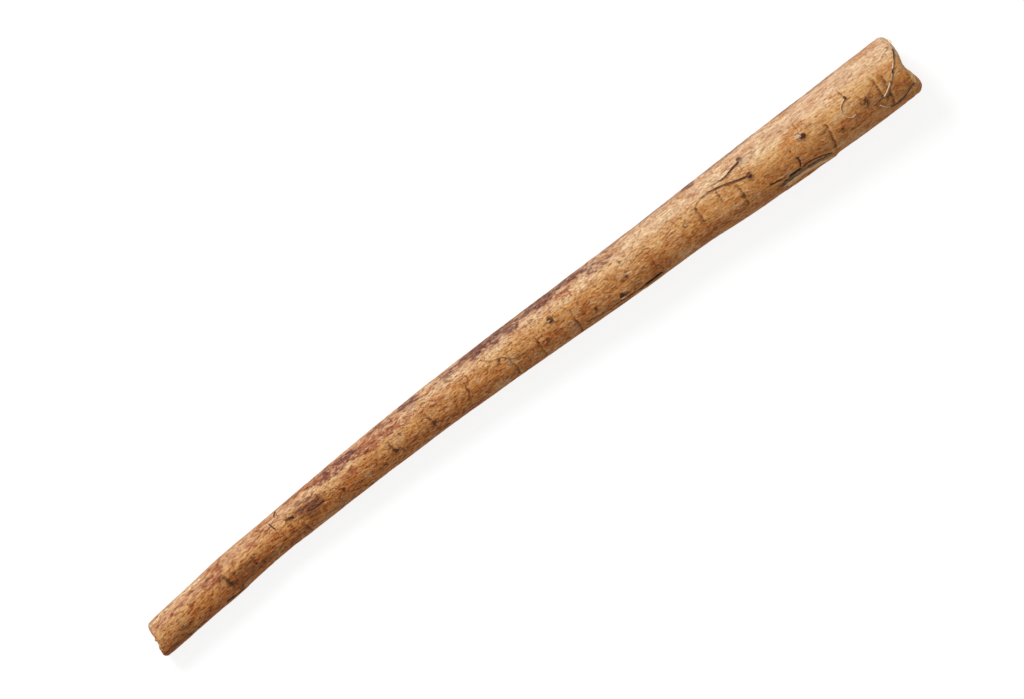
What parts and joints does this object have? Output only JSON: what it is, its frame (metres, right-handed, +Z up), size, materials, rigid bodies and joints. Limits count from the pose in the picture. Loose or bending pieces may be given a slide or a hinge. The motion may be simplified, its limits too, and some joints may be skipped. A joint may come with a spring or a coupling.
{
  "type": "burdock root",
  "caption": "Long, thin, slightly bowed burdock root cut square at both ends, thicker at the crown, with dried rootlets clinging to it, lying on its side as a vegetable to peel and slice.",
  "frame": {"origin": "on the surface that the root lies on, under the middle of its bounding box", "axes": "+X along the root from its thin end to its crown end, +Y towards the side that it bows to, +Z up from the surface that it lies on"},
  "size_m": [0.3415, 0.0258, 0.0255],
  "materials": {
    "root_skin": "matt, fibrous golden-brown bark with darker scars and cream flesh at the cuts",
    "rootlet_dark": "matt, dried and dark brown",
    "rootlet_pale": "matt, dried and straw-coloured",
    "rootlet_mixed": "matt, dried, brown and straw-coloured by turns"
  },
  "bodies": {
    "root": {"taproot": "root_skin", "rootlet_crown_long": "rootlet_mixed", "rootlet_crown_low": "rootlet_mixed", "rootlet_crown_fine": "rootlet_dark", "rootlet_by_ring_knot": "rootlet_dark", "rootlet_curled": "rootlet_pale", "rootlet_fork_upper": "rootlet_dark", "rootlet_fork_lower": "rootlet_dark", "rootlet_wavy": "rootlet_mixed", "rootlet_thin_third": "rootlet_dark", "rootlet_thin_third_cross": "rootlet_dark", "rootlet_thin_third_edge": "rootlet_dark"}
  },
  "joints": []
}
